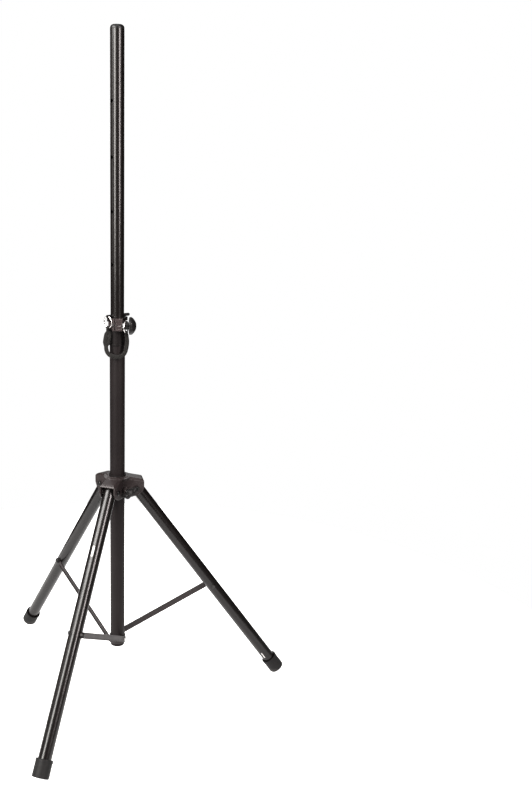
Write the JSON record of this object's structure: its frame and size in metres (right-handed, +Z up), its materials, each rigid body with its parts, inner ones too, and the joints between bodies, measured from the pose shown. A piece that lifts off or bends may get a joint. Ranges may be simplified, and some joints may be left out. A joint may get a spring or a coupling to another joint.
{
  "type": "tripod loudspeaker stand",
  "caption": "Telescopic tripod stand for a loudspeaker: pinned, clamped sliding mast on a column, folding braced legs, rubber feet.",
  "frame": {"origin": "on the floor under the column, at the centre of the three feet", "axes": "+Z up along the column; one leg points to -X, the others to +60 and -60 degrees from +X; the locking pin lies along Y with its ring at -Y"},
  "size_m": [0.7642, 0.8754, 1.784],
  "materials": {
    "mast_tube": "semi-gloss powder coat",
    "mast_cap": "satin",
    "mast_glide": "matte",
    "column_tube": "satin powder coat",
    "column_plug": "satin",
    "upper_bushing": "satin",
    "clamp_collar": "semi-gloss powder coat",
    "clamp_bolt": "zinc plated",
    "clamp_washer": "zinc plated",
    "clamp_spacer": "satin",
    "tether_ring": "polished",
    "lanyard": "woven and worn",
    "brace_collar": "satin powder coat",
    "collar_rivets": "satin",
    "collar_screw": "satin",
    "clamp_knob": "satin",
    "clamp_knob_insert": "turned",
    "locking_pin": "black oxide",
    "pin_ring": "polished",
    "hub_casting": "satin powder coat",
    "hub_bushing": "satin",
    "leg_pivot_bolts": "satin",
    "leg_pivot_nuts": "satin",
    "leg_washers": "matte nylon",
    "hub_knob_nut": "zinc plated",
    "hub_pad": "matte nylon",
    "hub_knob": "satin",
    "hub_knob_stud": "zinc plated",
    "leg_tube": "semi-gloss powder coat",
    "leg_plug": "satin",
    "foot": "matte",
    "brace_bolt": "satin",
    "brace_bar": "satin powder coat",
    "brace_nut": "satin"
  },
  "bodies": {
    "column": {"column_tube": "column_tube", "column_plug": "column_plug", "upper_bushing": "upper_bushing", "clamp_collar": "clamp_collar", "clamp_bolt": "clamp_bolt", "clamp_washer": "clamp_washer", "clamp_spacer": "clamp_spacer", "tether_ring": "tether_ring", "lanyard": "lanyard", "brace_collar": "brace_collar", "collar_rivets": "collar_rivets", "collar_screw": "collar_screw"},
    "mast": {"mast_tube": "mast_tube", "mast_cap": "mast_cap", "mast_glide": "mast_glide"},
    "clamp_knob": {"clamp_knob": "clamp_knob", "clamp_knob_insert": "clamp_knob_insert"},
    "locking_pin": {"locking_pin": "locking_pin", "pin_ring": "pin_ring"},
    "hub": {"hub_casting": "hub_casting", "hub_bushing": "hub_bushing", "leg_pivot_bolts": "leg_pivot_bolts", "leg_pivot_nuts": "leg_pivot_nuts", "leg_washers": "leg_washers", "hub_knob_nut": "hub_knob_nut", "hub_pad": "hub_pad"},
    "hub_knob": {"hub_knob": "hub_knob", "hub_knob_stud": "hub_knob_stud"},
    "leg_front": {"leg_tube_front": "leg_tube", "leg_plug_front": "leg_plug", "foot_front": "foot", "brace_bolt_front": "brace_bolt"},
    "leg_right": {"leg_tube_right": "leg_tube", "leg_plug_right": "leg_plug", "foot_right": "foot", "brace_bolt_right": "brace_bolt"},
    "leg_left": {"leg_tube_left": "leg_tube", "leg_plug_left": "leg_plug", "foot_left": "foot", "brace_bolt_left": "brace_bolt"},
    "brace_front": {"brace_bar_front": "brace_bar", "brace_nut_front": "brace_nut"},
    "brace_right": {"brace_bar_right": "brace_bar", "brace_nut_right": "brace_nut"},
    "brace_left": {"brace_bar_left": "brace_bar", "brace_nut_left": "brace_nut"}
  },
  "joints": [
    {"name": "mast_slide", "type": "slide", "parent": "column", "child": "mast", "axis": [0, 0, 1], "range_m": [-0.5256, 0.2628]},
    {"name": "pin_pull", "type": "slide", "parent": "column", "child": "locking_pin", "axis": [0, -1, 0], "range_m": [0, 0.06], "deforming": ["lanyard"]},
    {"name": "clamp_knob_turn", "type": "hinge", "parent": "column", "child": "clamp_knob", "pos_m": [0.0234, -0.02034, 1.064], "axis": [0.6561, 0.7547, 0], "range_deg": [0, 540]},
    {"name": "hub_slide", "type": "slide", "parent": "column", "child": "hub", "axis": [0, 0, 1], "range_m": [0, 0.2282]},
    {"name": "leg_front_fold", "type": "hinge", "parent": "hub", "child": "leg_front", "pos_m": [0.025, -0.0433, 0.613], "axis": [0.866, 0.5, 0], "range_deg": [0, 34.3]},
    {"name": "leg_right_fold", "type": "hinge", "parent": "hub", "child": "leg_right", "pos_m": [0.025, 0.0433, 0.613], "axis": [-0.866, 0.5, 0], "range_deg": [0, 34.3]},
    {"name": "leg_left_fold", "type": "hinge", "parent": "hub", "child": "leg_left", "pos_m": [-0.05, 0, 0.613], "axis": [0, -1, 0], "range_deg": [0, 34.3]},
    {"name": "brace_front_fold", "type": "hinge", "parent": "column", "child": "brace_front", "pos_m": [0.02307, 0.00754, 0.1515], "axis": [-0.866, -0.5, 0], "range_deg": [0, 50.99]},
    {"name": "brace_right_fold", "type": "hinge", "parent": "column", "child": "brace_right", "pos_m": [-0.01807, 0.01621, 0.1515], "axis": [0.866, -0.5, 0], "range_deg": [0, 50.99]},
    {"name": "brace_left_fold", "type": "hinge", "parent": "column", "child": "brace_left", "pos_m": [-0.005, -0.02375, 0.1515], "axis": [0, 1, 0], "range_deg": [0, 50.99]},
    {"name": "hub_knob_turn", "type": "hinge", "parent": "hub", "child": "hub_knob", "pos_m": [0.05, 0, 0.611], "axis": [1, 0, 0], "range_deg": [0, 450]}
  ],
  "couplings": [
    {"joint": "leg_front_fold", "follows": "hub_slide", "rad_per_m": 2.6233},
    {"joint": "leg_right_fold", "follows": "hub_slide", "rad_per_m": 2.6233},
    {"joint": "leg_left_fold", "follows": "hub_slide", "rad_per_m": 2.6233},
    {"joint": "brace_front_fold", "follows": "hub_slide", "rad_per_m": 3.9},
    {"joint": "brace_right_fold", "follows": "hub_slide", "rad_per_m": 3.9},
    {"joint": "brace_left_fold", "follows": "hub_slide", "rad_per_m": 3.9}
  ]
}
